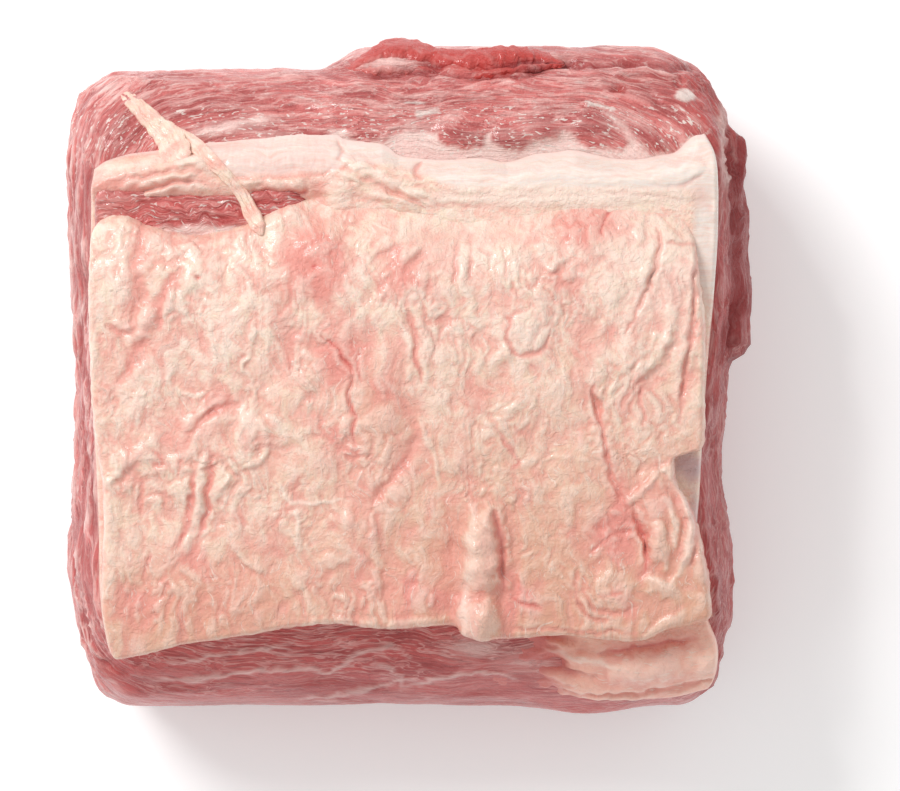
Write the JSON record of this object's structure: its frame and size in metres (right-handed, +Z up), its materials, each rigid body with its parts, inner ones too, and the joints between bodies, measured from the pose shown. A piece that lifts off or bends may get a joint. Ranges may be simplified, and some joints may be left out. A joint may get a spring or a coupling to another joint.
{
  "type": "beef ribeye roast",
  "caption": "Raw boneless beef ribeye roast, a squarish block of red meat under a thick pale fat cap with a white strap along one side.",
  "frame": {"origin": "centre of the bounding box at the height of the surface it rests on", "axes": "+Z up out of the fat cap, +X from the left cut face to the right one, +Y towards the chine side with the white strap"},
  "size_m": [0.1898, 0.1833, 0.0895],
  "materials": {
    "meat": "moist raw muscle, red with a thin silvery skin in places",
    "seam_fat": "smooth white strap and pale pink fat, slightly glossy",
    "blade_meat": "moist raw muscle, deeper red",
    "fat_cap": "pale cream-pink fat with folds and pink streaks, satin"
  },
  "bodies": {
    "root": {"meat": "meat", "seam_fat": "seam_fat", "blade_meat": "blade_meat", "fat_cap": "fat_cap"}
  },
  "joints": []
}
